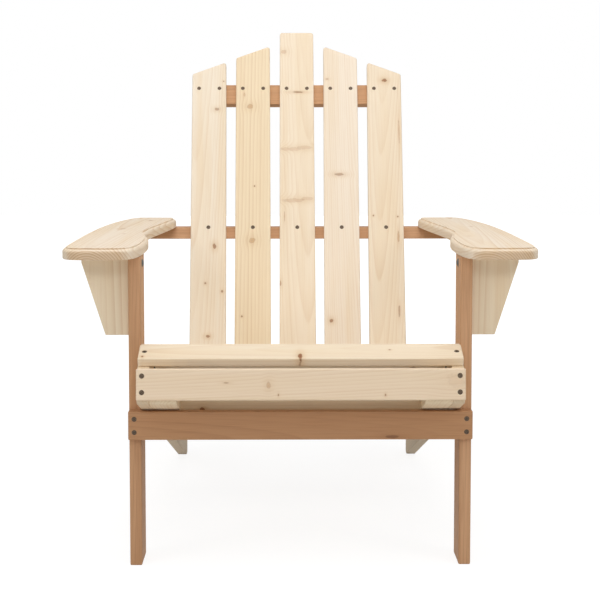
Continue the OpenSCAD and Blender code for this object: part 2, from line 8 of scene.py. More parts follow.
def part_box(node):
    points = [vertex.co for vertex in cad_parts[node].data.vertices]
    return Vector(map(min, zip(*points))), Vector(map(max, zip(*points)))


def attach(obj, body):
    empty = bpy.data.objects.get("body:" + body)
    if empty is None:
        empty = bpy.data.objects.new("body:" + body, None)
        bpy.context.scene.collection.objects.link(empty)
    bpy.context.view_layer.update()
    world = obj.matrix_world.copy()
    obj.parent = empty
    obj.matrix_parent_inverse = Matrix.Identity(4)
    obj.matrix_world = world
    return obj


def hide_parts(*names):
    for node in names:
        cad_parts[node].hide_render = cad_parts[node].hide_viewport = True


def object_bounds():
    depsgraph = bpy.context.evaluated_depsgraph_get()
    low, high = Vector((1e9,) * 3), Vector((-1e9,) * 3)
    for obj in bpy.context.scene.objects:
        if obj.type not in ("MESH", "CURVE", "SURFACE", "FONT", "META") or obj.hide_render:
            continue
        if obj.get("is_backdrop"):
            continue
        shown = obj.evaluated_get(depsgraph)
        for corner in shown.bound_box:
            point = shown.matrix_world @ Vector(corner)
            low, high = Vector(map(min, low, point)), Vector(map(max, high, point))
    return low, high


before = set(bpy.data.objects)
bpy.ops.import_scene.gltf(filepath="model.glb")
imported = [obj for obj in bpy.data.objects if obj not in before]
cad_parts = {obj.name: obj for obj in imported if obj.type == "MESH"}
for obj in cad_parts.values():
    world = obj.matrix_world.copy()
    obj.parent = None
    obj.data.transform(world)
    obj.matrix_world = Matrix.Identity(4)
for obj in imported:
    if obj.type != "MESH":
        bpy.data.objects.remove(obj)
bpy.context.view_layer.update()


# ---------------------------------------------------------------- Camera
# A long lens a little over two metres in front of the seat. It looks slightly down, and
# most of the drop is taken by the lens shift, so that the legs and arms stay upright.
camera_tilt = 4.044
camera_turn = 0.581
bpy.ops.object.camera_add(
    location=(-0.0236, -2.6167, 0.7053),
    rotation=(math.radians(90 - camera_tilt), 0, math.radians(-camera_turn)),
)
camera = bpy.context.active_object
camera.name = "camera"
camera.data.sensor_width = 36
camera.data.lens = 86.706
camera.data.shift_y = -0.13
bpy.context.scene.camera = camera


# ---------------------------------------------------------------- Studio
# A plain white floor with a soft shadow on it, and a white room. One wide softbox hangs
# overhead, one stands high on each side, and two small ones shine from the front.
class Reading:
    """A number or colour that a node gives. Sums on numbers add Math nodes."""

    def __init__(self, nodes, node, output):
        self.nodes = nodes
        self.node = node
        self.socket = node.outputs[output] if len(node.outputs) else None

    def out(self, output):
        return Reading(self.nodes, self.node, output)

    def sum(self, operation, *values):
        return self.nodes.add("Math", {"operation": operation}, dict(enumerate(values)))

    def __add__(self, other):
        return self.sum("ADD", self, other)

    def __radd__(self, other):
        return self.sum("ADD", other, self)

    def __sub__(self, other):
        return self.sum("SUBTRACT", self, other)

    def __rsub__(self, other):
        return self.sum("SUBTRACT", other, self)

    def __mul__(self, other):
        return self.sum("MULTIPLY", self, other)

    def __rmul__(self, other):
        return self.sum("MULTIPLY", other, self)

    def __truediv__(self, other):
        return self.sum("DIVIDE", self, other)

    def __rtruediv__(self, other):
        return self.sum("DIVIDE", other, self)

    def __pow__(self, other):
        return self.sum("POWER", self, other)

    def __rpow__(self, other):
        return self.sum("POWER", other, self)

    def __abs__(self):
        return self.sum("ABSOLUTE", self)


class Nodes:
    """The nodes of one finish."""

    def __init__(self, tree):
        self.tree = tree
        tree.nodes.clear()

    def add(self, kind, settings=None, inputs=None, output=0):
        """Adds a node: its settings first, then what its sockets take."""
        node = self.tree.nodes.new("ShaderNode" + kind)
        for setting, value in (settings or {}).items():
            setattr(node, setting, value)
        for socket, value in (inputs or {}).items():
            if isinstance(value, Reading):
                self.tree.links.new(value.socket, node.inputs[socket])
            else:
                node.inputs[socket].default_value = value
        return Reading(self, node, output)

    def blend(self, share, first, second, mode="MIX"):
        return self.add("Mix", {"data_type": "RGBA", "blend_type": mode},
                        {0: share, 6: first, 7: second}, output=2)

    def rise(self, value, start, end):
        """0 before start and 1 past end, with a smooth change between them."""
        return self.add("MapRange", {"interpolation_type": "SMOOTHSTEP"},
                        {"Value": value, "From Min": start, "From Max": end})


def paint(red, green, blue):
    """A colour from its everyday 0 to 255 values."""
    shares = [part / 255 for part in (red, green, blue)]
    return [s / 12.92 if s <= 0.04045 else ((s + 0.055) / 1.055) ** 2.4 for s in shares] + [1]


floor_size = 16
bpy.ops.mesh.primitive_plane_add(size=floor_size, location=(0, 0, 0))
floor = bpy.context.active_object
floor.name = "studio_floor"
floor_paint = bpy.data.materials.new("floor_paint")
floor_paint.use_nodes = True
nodes = Nodes(floor_paint.node_tree)
path = nodes.add("LightPath")
seen = path.sum("MAXIMUM", path.sum("MAXIMUM", path.out("Is Camera Ray"), path.out("Is Glossy Ray")),
                path.out("Is Transmission Ray"))
pale = nodes.add("BsdfDiffuse", {}, {"Color": paint(226, 225, 223)})
shaded = nodes.add("BsdfDiffuse", {}, {"Color": paint(140, 140, 140)})
ground = nodes.add("TexCoord", output="Object")
away = nodes.add("VectorMath", {"operation": "LENGTH"}, {0: ground}, output="Value")
white = nodes.add("Emission", {}, {"Color": (1, 1, 1, 1),
                                   "Strength": nodes.rise(away, 0.7, 1.9) * 0.2 + 0.87})
shadowed = nodes.add("AddShader", {}, {0: shaded, 1: white})
nodes.add("OutputMaterial", {}, {0: nodes.add("MixShader", {}, {0: seen, 1: pale, 2: shadowed})})
floor.data.materials.append(floor_paint)
floor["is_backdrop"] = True

room = bpy.data.worlds.new("white_room")
bpy.context.scene.world = room
room.use_nodes = True
nodes = Nodes(room.node_tree)
path = nodes.add("LightPath")
seen = path.sum("MAXIMUM", path.sum("MAXIMUM", path.out("Is Camera Ray"), path.out("Is Glossy Ray")),
                path.out("Is Transmission Ray"))
fill = nodes.add("Background", {}, {"Color": (1, 1, 1, 1), "Strength": 0.28})
backdrop = nodes.add("Background", {}, {"Color": (1, 1, 1, 1), "Strength": 1.0})
nodes.add("OutputWorld", {}, {0: nodes.add("MixShader", {}, {0: seen, 1: fill, 2: backdrop})})
bpy.context.scene.view_settings.view_transform = "Standard"


def softbox(name, at, aim, width, height, power):
    """A rectangular lamp at a place, turned to shine at a point."""
    bpy.ops.object.light_add(type="AREA", location=at)
    lamp = bpy.context.active_object
    lamp.name = name
    lamp.data.shape = "RECTANGLE"
    lamp.data.size, lamp.data.size_y = width, height
    lamp.data.energy = power
    lamp.rotation_euler = (Vector(aim) - Vector(at)).to_track_quat("-Z", "Y").to_euler()


softbox("softbox_top", (0, -0.7, 2.9), (0, 0, 0.4), 2.4, 1.8, 37)
softbox("softbox_left", (-2.2, -2.0, 2.2), (0, -0.1, 0.3), 1.0, 1.2, 11.5)
softbox("softbox_right", (2.2, -2.0, 2.2), (0, -0.1, 0.3), 1.0, 1.2, 11.5)
softbox("softbox_front", (0, -3.2, 1.6), (0, 0, 0.35), 1.0, 0.5, 12)
softbox("softbox_low", (0, -3.0, 0.45), (0, 0, 0.3), 2.2, 0.5, 3.2)


# ---------------------------------------------------------------- Front legs
# Two planed boards of reddish hardwood that stand on the floor on their ends, narrow
# edge to the front, with lightly sanded edges. They are bored for screws and bolts.
FIR = dict(early=paint(246, 230, 205), warm=paint(240, 216, 180), late=paint(214, 176, 128),
           knot=paint(158, 102, 62), faint=paint(198, 142, 90), end=paint(206, 170, 124),
           ring=0.0038, contrast=0.42,
           streaks=0.55, fibre=0.16)
HARDWOOD = dict(early=paint(214, 168, 128), warm=paint(188, 140, 100), late=paint(156, 106, 70),
                knot=paint(96, 58, 40), faint=paint(122, 76, 50), end=paint(150, 104, 72),
                ring=0.0052, contrast=0.34,
                streaks=0.8, fibre=0.34)


def timber(name, at, turn=(0, 0, 0), grain="Z", face="X", wood=FIR, pith=(0.012, -0.05),
           lean=(0.0, 0.0), knots=(), seed=1, early=None, contrast=None, ring=None, wander=0.006):
    """Sawn wood, solid all through: growth rings round a pith outside the board, with
    knots, streaks and fibres. Each knot is [along, across, half length, half width, depth]."""
    look = dict(wood)
    look.update({key: value for key, value in
                 (("early", early), ("contrast", contrast), ("ring", ring)) if value is not None})
    material = bpy.data.materials.new(name)
    material.use_nodes = True
    nodes = Nodes(material.node_tree)
    place = nodes.add("TexCoord", output="Object")
    board = nodes.add("Mapping", {"vector_type": "TEXTURE"},
                      {"Vector": place, "Location": at, "Rotation": turn})
    parts = nodes.add("SeparateXYZ", {}, {0: board})
    depth = ({"X", "Y", "Z"} - {grain, face}).pop()
    along, across, through = parts.out(grain), parts.out(face), parts.out(depth)
    sorted_out = nodes.add("CombineXYZ", {}, {0: along, 1: across, 2: through})

    def mottle(stretch, detail, offset):
        moved = nodes.add("VectorMath", {"operation": "MULTIPLY_ADD"},
                          {0: sorted_out, 1: stretch, 2: (seed * 3.17 + offset, seed * 1.31, offset)})
        return nodes.add("TexNoise", {}, {"Vector": moved, "Scale": 1, "Detail": detail})

    # Knots push the grain aside, and each has a core, a dark rim and a stained border
    bent = across
    cores, halos = [], []
    wobble = (mottle((190, 190, 190), 4, 9) - 0.5) * 1.1
    for knot_along, knot_across, half_length, half_width, strength in knots:
        off_along = (along - knot_along) / half_length
        off_across = (across - knot_across) / half_width
        far = off_along * off_along + off_across * off_across
        push = 2.718 ** (far * -0.16)
        bent = bent - (across - knot_across) * push * 0.55
        edge = far ** 0.5 + wobble
        cores.append((edge, strength))
        halos.append(2.718 ** (far * -0.22) * min(0.6, strength * 0.75))

    drift = (mottle((1.7, 14, 14), 2, 0) - 0.5) * wander
    sideways = bent - pith[0] - along * lean[0]
    inwards = through - pith[1] - along * lean[1]
    radius = (sideways * sideways + inwards * inwards) ** 0.5 + drift
    count = radius / look["ring"]
    year = nodes.add("Math", {"operation": "FLOOR"}, {0: count})
    season = count - year
    late = season ** 2.2 * (1 - nodes.rise(season, 0.9, 1.0))
    year_weight = nodes.add("TexWhiteNoise", {"noise_dimensions": "1D"},
                            {"W": year + seed * 7.3}, output="Value") * 0.75 + 0.25
    streak = nodes.rise(mottle((1.3, 42, 42), 3, 4), 0.38, 0.66)
    fibre = mottle((14, 620, 620), 3, 2)
    cloud = nodes.rise(mottle((4, 18, 18), 2, 6), 0.35, 0.7)

    colour = nodes.blend(streak * look["streaks"] * (cloud * 0.6 + 0.4), look["early"], look["warm"])
    colour = nodes.blend(late * year_weight * look["contrast"], colour, look["late"])
    colour = nodes.blend(nodes.rise(fibre, 0.45, 0.8) * look["fibre"], colour, look["late"])
    height = late * 0.5 + fibre * 0.6
    rough = 0.62 - late * 0.08 + (fibre - 0.5) * 0.2
    for (edge, strength), halo in zip(cores, halos):
        core = 1 - nodes.rise(edge, 0.7, 1.15)
        rim = core * nodes.rise(edge, 0.5, 0.85)
        pip = 1 - nodes.rise(edge, 0.05, 0.4)
        body = look["knot"] if strength > 0.45 else look["faint"]
        heart = nodes.blend(rim * 0.5, body, paint(104, 62, 38))
        heart = nodes.blend(pip * strength * 0.7, heart, paint(84, 50, 32))
        colour = nodes.blend(halo, colour, look["late"])
        colour = nodes.blend(core * strength, colour, heart)
        height = height - core * strength * 0.6

    # Sawn ends drink more light than faces do, and the rings stand out on them
    axis = Vector([float(letter == grain) for letter in "XYZ"])
    axis.rotate(Euler(turn))
    facing = nodes.add("VectorMath", {"operation": "DOT_PRODUCT"},
                       {0: place.out("Normal"), 1: axis}, output="Value")
    endwise = nodes.rise(abs(facing), 0.6, 0.95)
    colour = nodes.blend(endwise * 0.55, colour, look["end"])
    colour = nodes.blend(endwise * late * 0.5, colour, look["knot"])
    rough = rough + endwise * 0.12

    bump = nodes.add("Bump", {}, {"Strength": 0.14, "Distance": 0.0004, "Height": height})
    shader = nodes.add("BsdfPrincipled", {}, {"Base Color": colour, "Roughness": rough,
                                              "Specular IOR Level": 0.3, "Normal": bump})
    nodes.add("OutputMaterial", {}, {0: shader})
    return material


def pick_up(piece):
    """Makes a piece the only selected one."""
    if bpy.context.mode != "OBJECT":
        bpy.ops.object.mode_set(mode="OBJECT")
    bpy.ops.object.select_all(action="DESELECT")
    piece.select_set(True)
    bpy.context.view_layer.objects.active = piece


def settle(piece):
    """Puts the piece's place, turn and size into its mesh."""
    pick_up(piece)
    bpy.ops.object.transform_apply(location=True, rotation=True, scale=True)


def board(name, size, at, turn=(0, 0, 0)):
    """A squared-up board, size across X, Y and Z, with its middle at a place."""
    bpy.ops.object.select_all(action="DESELECT")
    bpy.ops.mesh.primitive_cube_add(size=1, location=at, rotation=turn)
    piece = bpy.context.active_object
    piece.name = piece.data.name = name
    piece.scale = size
    settle(piece)
    return piece


def choose_edges(piece, wanted):
    """Goes into edit mode with only the wanted edges selected."""
    pick_up(piece)
    mesh = piece.data
    for part in (*mesh.vertices, *mesh.edges, *mesh.polygons):
        part.select = False
    for edge in mesh.edges:
        edge.select = edge.index in wanted
    bpy.ops.object.mode_set(mode="EDIT")
    bpy.ops.mesh.select_mode(type="EDGE")


def edge_turns(piece):
    """How sharply the faces turn at each edge, in radians."""
    normals = {}
    for face in piece.data.polygons:
        for key in face.edge_keys:
            normals.setdefault(key, []).append(face.normal)
    return {edge.index: normals[edge.key][0].angle(normals[edge.key][1]) for edge in piece.data.edges}


def ease(piece, radius, segments=3):
    """Sands the sharp edges of a piece round."""
    sharp = {index for index, turn in edge_turns(piece).items() if turn > math.radians(45)}
    choose_edges(piece, sharp)
    bpy.ops.mesh.bevel(offset=radius, segments=segments, profile=0.5, clamp_overlap=True)
    bpy.ops.object.mode_set(mode="OBJECT")


def farthest(points, start, slack=0.0003):
    """The middle of the points that lie farthest from a start."""
    reach = max((point - start).length for point in points) - slack
    far = [point for point in points if (point - start).length > reach]
    return sum(far, Vector()) / len(far)


fixings_found = {}


def fixings(node):
    """Where each screw or bolt of a node has its head and its tip."""
    if node in fixings_found:
        return fixings_found[node]
    bpy.ops.object.select_all(action="DESELECT")
    loose = bpy.data.objects.new("loose_" + node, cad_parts[node].data.copy())
    bpy.context.collection.objects.link(loose)
    pick_up(loose)
    bpy.ops.object.mode_set(mode="EDIT")
    bpy.ops.mesh.select_all(action="SELECT")
    bpy.ops.mesh.remove_doubles(threshold=0.00001)
    bpy.ops.mesh.separate(type="LOOSE")
    bpy.ops.object.mode_set(mode="OBJECT")
    places = []
    for part in list(bpy.context.selected_objects):
        points = [vertex.co.copy() for vertex in part.data.vertices]
        middle = sum(points, Vector()) / len(points)
        tip = farthest(points, middle)
        places.append((farthest(points, tip), tip))
        mesh = part.data
        bpy.data.objects.remove(part)
        bpy.data.meshes.remove(mesh)
    places.sort(key=lambda ends: tuple(round(value, 4) for value in ends[0]))
    fixings_found[node] = places
    return places


def passes(piece, head, tip, margin=0.001, steps=20):
    """True if the line from a screw's head to its tip runs into a piece's box."""
    low = [min(vertex.co[i] for vertex in piece.data.vertices) - margin for i in range(3)]
    high = [max(vertex.co[i] for vertex in piece.data.vertices) + margin for i in range(3)]
    points = [head.lerp(tip, step / steps) for step in range(steps + 1)]
    return any(all(low[i] < point[i] < high[i] for i in range(3)) for point in points)


# How far a drill starts above the wood, and how far it goes past a fixing's tip
drill_start, drill_past = 0.0013, 0.0001
plain_sink = 0.001


def drill(piece, node, bore, mouth=0):
    """Bores a piece for a node's screws or bolts, countersunk where mouth is given."""
    drills = []
    for head, tip in fixings(node):
        if not passes(piece, head, tip):
            continue
        run = tip - head
        bpy.ops.object.select_all(action="DESELECT")
        bpy.ops.mesh.primitive_cylinder_add(vertices=24, radius=mouth or bore, depth=drill_start,
                                            location=(0, 0, drill_start / 2))
        cutter = bpy.context.active_object
        settle(cutter)
        bpy.ops.object.mode_set(mode="EDIT")
        bpy.ops.mesh.select_mode(type="FACE")
        bpy.ops.mesh.select_all(action="DESELECT")
        bpy.ops.object.mode_set(mode="OBJECT")
        for face in cutter.data.polygons:
            face.select = face.normal.z < -0.9
        bpy.ops.object.mode_set(mode="EDIT")
        sink = mouth - bore if mouth else plain_sink
        bpy.ops.mesh.extrude_region_move(TRANSFORM_OT_translate={"value": (0, 0, -sink)})
        narrow = bore / (mouth or bore)
        bpy.ops.transform.resize(value=(narrow, narrow, 1), center_override=(0, 0, 0))
        rest = run.length - sink + drill_past
        bpy.ops.mesh.extrude_region_move(TRANSFORM_OT_translate={"value": (0, 0, -rest)})
        bpy.ops.object.mode_set(mode="OBJECT")
        cutter.matrix_world = Matrix.Translation(head) @ run.to_track_quat("-Z", "Y").to_matrix().to_4x4()
        settle(cutter)
        drills.append(cutter)
    if not drills:
        return
    pick_up(drills[0])
    for cutter in drills:
        cutter.select_set(True)
    bpy.ops.object.join()
    cutter = bpy.context.active_object
    cut = piece.modifiers.new("bore", "BOOLEAN")
    cut.operation, cut.solver, cut.object = "DIFFERENCE", "EXACT", cutter
    pick_up(piece)
    bpy.ops.object.modifier_apply(modifier=cut.name)
    bpy.data.objects.remove(cutter)


screw_bore, screw_mouth = 0.0021, 0.0041
bolt_bore = 0.0031
insert_bore = 0.0051


def fit(piece, material, slot, *nodes):
    """Finishes a piece: smooth shading over eased edges, its wood, and the node it is."""
    pick_up(piece)
    bpy.ops.object.shade_smooth_by_angle(angle=math.radians(35))
    flat = piece.modifiers.new("flat_faces", "WEIGHTED_NORMAL")
    flat.keep_sharp = True
    bpy.ops.object.modifier_apply(modifier=flat.name)
    piece.data.materials.clear()
    piece.data.materials.append(material)
    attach(piece, "root")
    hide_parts(*nodes)


def middle_and_size(node):
    """The middle of a node's box, and the box's size."""
    low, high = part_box(node)
    return (low + high) / 2, high - low


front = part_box("front_leg_left")[0].y
for side, seed in (("left", 3), ("right", 8)):
    node = "front_leg_" + side
    middle, size = middle_and_size(node)
    leg = board(node + "_board", size, middle)
    ease(leg, radius=0.0022)
    drill(leg, "apron_screws", screw_bore)
    drill(leg, "bracket_bolts", bolt_bore)
    drill(leg, "leg_bolts", insert_bore)
    wood = timber(node + "_wood", middle, grain="Z", face="Y", wood=HARDWOOD,
                  pith=(0.02, 0.09 if side == "left" else -0.08), lean=(0.02, 0.03), seed=seed)
    fit(leg, wood, "hardwood", node)


# ---------------------------------------------------------------- Apron
# A hardwood board across the front of both legs, on which the side rails rest. It has
# two countersunk screws into each leg's front edge.
middle, size = middle_and_size("front_apron")
apron = board("front_apron_board", size, middle)
ease(apron, radius=0.0015)
drill(apron, "apron_screws", screw_bore, screw_mouth)
# The apron's base colour is darker than the other hardwood: painted shade for the seat nose's shadow across
# its middle, laid over the whole board.
wood = timber("front_apron_wood", middle, grain="X", face="Z", wood=HARDWOOD, pith=(-0.02, 0.05),
              lean=(0.02, 0.05), seed=12, contrast=0.36, wander=0.014, early=paint(194, 147, 107),
              knots=[(0.144, -0.018, 0.012, 0.0025, 0.5)])
fit(apron, wood, "hardwood", "front_apron")


# ---------------------------------------------------------------- Side rails
# Two softwood planks inside the legs that slope down to the rear, where their ends
# stand on the floor as back feet. The front ends are sawn to a waterfall and a nose.
def saw(piece, point, away):
    """Cuts off what lies beyond a plane, and closes the cut."""
    pick_up(piece)
    bpy.ops.object.mode_set(mode="EDIT")
    bpy.ops.mesh.select_all(action="SELECT")
    bpy.ops.mesh.bisect(plane_co=point, plane_no=away, use_fill=True, clear_outer=True)
    bpy.ops.object.mode_set(mode="OBJECT")


def round_corner(piece, near, radius, segments=6):
    """Rounds the edge whose middle is nearest to a point."""
    points = [vertex.co for vertex in piece.data.vertices]
    gaps = {edge.index: ((points[edge.vertices[0]] + points[edge.vertices[1]]) / 2 - Vector(near)).length
            for edge in piece.data.edges}
    nearest = min(gaps, key=gaps.get)
    offset = radius * math.tan(edge_turns(piece)[nearest] / 2)
    choose_edges(piece, {nearest})
    bpy.ops.mesh.bevel(offset=offset, segments=segments, profile=0.5)
    bpy.ops.object.mode_set(mode="OBJECT")


def beside(y, z, x=0.0):
    """A point from its distance behind the legs' front faces and its height."""
    return Vector((x, front + y, z))


slope = math.radians(18.1)
down_slope = Vector((0, math.cos(slope), -math.sin(slope)))
above_slope = Vector((0, math.sin(slope), math.cos(slope)))
apron_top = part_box("front_apron")[1].z
rail_start = beside(0, apron_top)
rail_width = 0.085
rail_length = 0.96
rail_forward = 0.10
rail_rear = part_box("side_rail_left")[1].y
waterfall = math.radians(20)
waterfall_up = Vector((0, -math.sin(waterfall), math.cos(waterfall)))
peak_forward = 0.010
peak = beside(-peak_forward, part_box("side_rail_left")[1].z)
nose_lean = math.radians(6)
nose_out = Vector((0, -math.cos(nose_lean), math.sin(nose_lean)))
nose_down = Vector((0, -math.sin(nose_lean), -math.cos(nose_lean)))
waterfall_length = 0.0624
nose_top = peak - waterfall_length * Vector((0, math.cos(waterfall), math.sin(waterfall)))
nose_corner = beside(-0.0736, 0.2741)
nose_radius, heel_radius = 0.012, 0.008
for side, seed in (("left", 21), ("right", 26)):
    node = "side_rail_" + side
    low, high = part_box(node)
    centre = rail_start + above_slope * rail_width / 2 + down_slope * (rail_length / 2 - rail_forward)
    centre.x = (low.x + high.x) / 2
    rail = board(node + "_plank", (high.x - low.x, rail_length, rail_width), centre, (-slope, 0, 0))
    saw(rail, peak, waterfall_up)
    saw(rail, nose_top, nose_out)
    saw(rail, (0, 0, 0), (0, 0, -1))
    saw(rail, (0, rail_rear, 0), (0, 1, 0))
    round_corner(rail, (centre.x, nose_corner.y, nose_corner.z), nose_radius)
    round_corner(rail, (centre.x, rail_rear, 0), heel_radius)
    ease(rail, radius=0.0018)
    for screws in ("front_slat_screws", "seat_slat_screws", "nose_block_screws"):
        drill(rail, screws, screw_bore)
    for screws in ("cross_rail_screws", "lower_rail_end_screws"):
        drill(rail, screws, screw_bore, screw_mouth)
    drill(rail, "leg_bolts", bolt_bore)
    turn = Matrix.Rotation(-slope, 3, "X").to_euler()
    wood = timber(node + "_wood", centre, turn, grain="Y", face="Z", pith=(0.01, 0.07), seed=seed,
                  lean=(0.01, 0.02), knots=[(-0.20, 0.012, 0.008, 0.006, 0.8),
                                            (0.16, -0.018, 0.005, 0.004, 0.7)],
                  early=paint(232, 212, 182))
    fit(rail, wood, "softwood", node)


# ---------------------------------------------------------------- Nose blocks
# A short offcut inside each rail's nose, lower edge to lower edge with the rail, which
# gives the front slat something to lie on. Two screws hold it from its inner face.
block_width = 0.045
block_length = 0.14
block_rearward = 0.05
for side, seed in (("left", 31), ("right", 36)):
    node = "nose_block_" + side
    low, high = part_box(node)
    centre = rail_start + above_slope * block_width / 2 - down_slope * (block_length / 2 - block_rearward)
    centre.x = (low.x + high.x) / 2
    block = board(node + "_offcut", (high.x - low.x, block_length, block_width), centre, (-slope, 0, 0))
    saw(block, nose_top, nose_out)
    saw(block, (0, high.y, 0), (0, 1, 0))
    round_corner(block, (centre.x, nose_corner.y, nose_corner.z), nose_radius)
    ease(block, radius=0.001)
    drill(block, "nose_block_screws", screw_bore, screw_mouth)
    turn = Matrix.Rotation(-slope, 3, "X").to_euler()
    # Their base colour is paler than the side rails': painted light that makes up for the deep shade they
    # sit in under the seat's nose.
    wood = timber(node + "_wood", centre, turn, grain="Y", face="X", pith=(0.03, -0.05), seed=seed,
                  early=paint(250, 232, 202))
    fit(block, wood, "shaded_softwood", node)


# ---------------------------------------------------------------- Front cross rail
# A softwood board on edge between the side rails, just behind the apron. It ties the
# rails together and is screwed through them into its ends.
middle, size = middle_and_size("front_cross_rail")
cross_rail = board("front_cross_rail_board", size, middle)
ease(cross_rail, radius=0.0015)
drill(cross_rail, "cross_rail_screws", screw_bore)
# Its base colour is paler than the side rails': painted light that makes up for the deep shade it sits in
# under the seat's nose.
wood = timber("front_cross_rail_wood", middle, grain="X", face="Z", pith=(0.02, 0.06), seed=41,
              early=paint(252, 234, 202), knots=[(-0.155, -0.014, 0.004, 0.003, 0.8)])
fit(cross_rail, wood, "shaded_softwood", "front_cross_rail")


# ---------------------------------------------------------------- Seat slats
# Ten softwood slats across the side rails, screwed down at each end. The first tips
# forward over the front edge, and the others lie one behind another down the slope.
seat_slat_width, seat_slat_thickness = 0.045, 0.014
chance = random.Random(5)
front_knots = [(-0.001, -0.0150, 0.0034, 0.0085, 0.95), (0.138, 0.0045, 0.0018, 0.0014, 0.7),
               (-0.2435, -0.0155, 0.0016, 0.0022, 0.8)]
for number in range(1, 11):
    node = "seat_slat_%d" % number
    middle, size = middle_and_size(node)
    tilt = waterfall if number == 1 else -slope
    slat = board(node + "_board", (size.x, seat_slat_width, seat_slat_thickness), middle, (tilt, 0, 0))
    ease(slat, radius=0.002)
    drill(slat, "seat_slat_screws", screw_bore, screw_mouth)
    knots = front_knots if number == 1 else [
        (chance.uniform(-0.2, 0.2), chance.uniform(-0.018, 0.018), chance.uniform(0.003, 0.007),
         chance.uniform(0.002, 0.005), chance.uniform(0.5, 0.9)) for _ in range(chance.randint(1, 3))]
    wood = timber(node + "_wood", middle, Matrix.Rotation(tilt, 3, "X").to_euler(), grain="X",
                  face="Y", pith=(chance.uniform(-0.03, 0.03), chance.uniform(-0.07, -0.03)),
                  lean=(chance.uniform(-0.03, 0.03), chance.uniform(-0.03, 0.03)),
                  knots=knots, seed=50 + number, contrast=0.34)
    fit(slat, wood, "softwood", node)


# ---------------------------------------------------------------- Front slat
# The upright softwood slat that closes the seat's front edge, leaning back a little
# with the rails' noses. Two countersunk screws hold each end.
middle, size = middle_and_size("front_slat")
front_slat_size = (size.x, seat_slat_thickness, 0.048)
front_slat = board("front_slat_board", front_slat_size, middle, (-nose_lean, 0, 0))
ease(front_slat, radius=0.002)
drill(front_slat, "front_slat_screws", screw_bore, screw_mouth)
wood = timber("front_slat_wood", middle, Matrix.Rotation(-nose_lean, 3, "X").to_euler(), grain="X",
              face="Z", pith=(0.05, 0.06), lean=(0.01, 0.03), seed=63, contrast=0.4, ring=0.003,
              early=paint(245, 223, 196),
              knots=[(-0.0493, -0.0007, 0.0035, 0.0055, 0.35), (-0.1134, 0.003, 0.0045, 0.001, 0.5),
                     (-0.0344, -0.0155, 0.001, 0.002, 0.5), (0.128, -0.0155, 0.0012, 0.0018, 0.6),
                     (0.236, 0.006, 0.016, 0.012, 0.12)])
fit(front_slat, wood, "softwood", "front_slat")


# ---------------------------------------------------------------- Lower back rail
# A hardwood rail between the side rails, leaning with the back. The back slats' lower
# ends are screwed to its front face.
recline = math.radians(27.4)
batten_width = 0.045
lower_rail_thickness = 0.019
middle, size = middle_and_size("lower_back_rail")
lower_rail_size = (size.x, lower_rail_thickness, batten_width)
lower_rail = board("lower_back_rail_board", lower_rail_size, middle, (-recline, 0, 0))
ease(lower_rail, radius=0.0018)
drill(lower_rail, "lower_rail_slat_screws", screw_bore)
drill(lower_rail, "lower_rail_end_screws", screw_bore)
wood = timber("lower_back_rail_wood", middle, Matrix.Rotation(-recline, 3, "X").to_euler(), grain="X",
              face="Z", wood=HARDWOOD, pith=(0.03, 0.05), lean=(0.02, 0.03), seed=71)
fit(lower_rail, wood, "hardwood", "lower_back_rail")


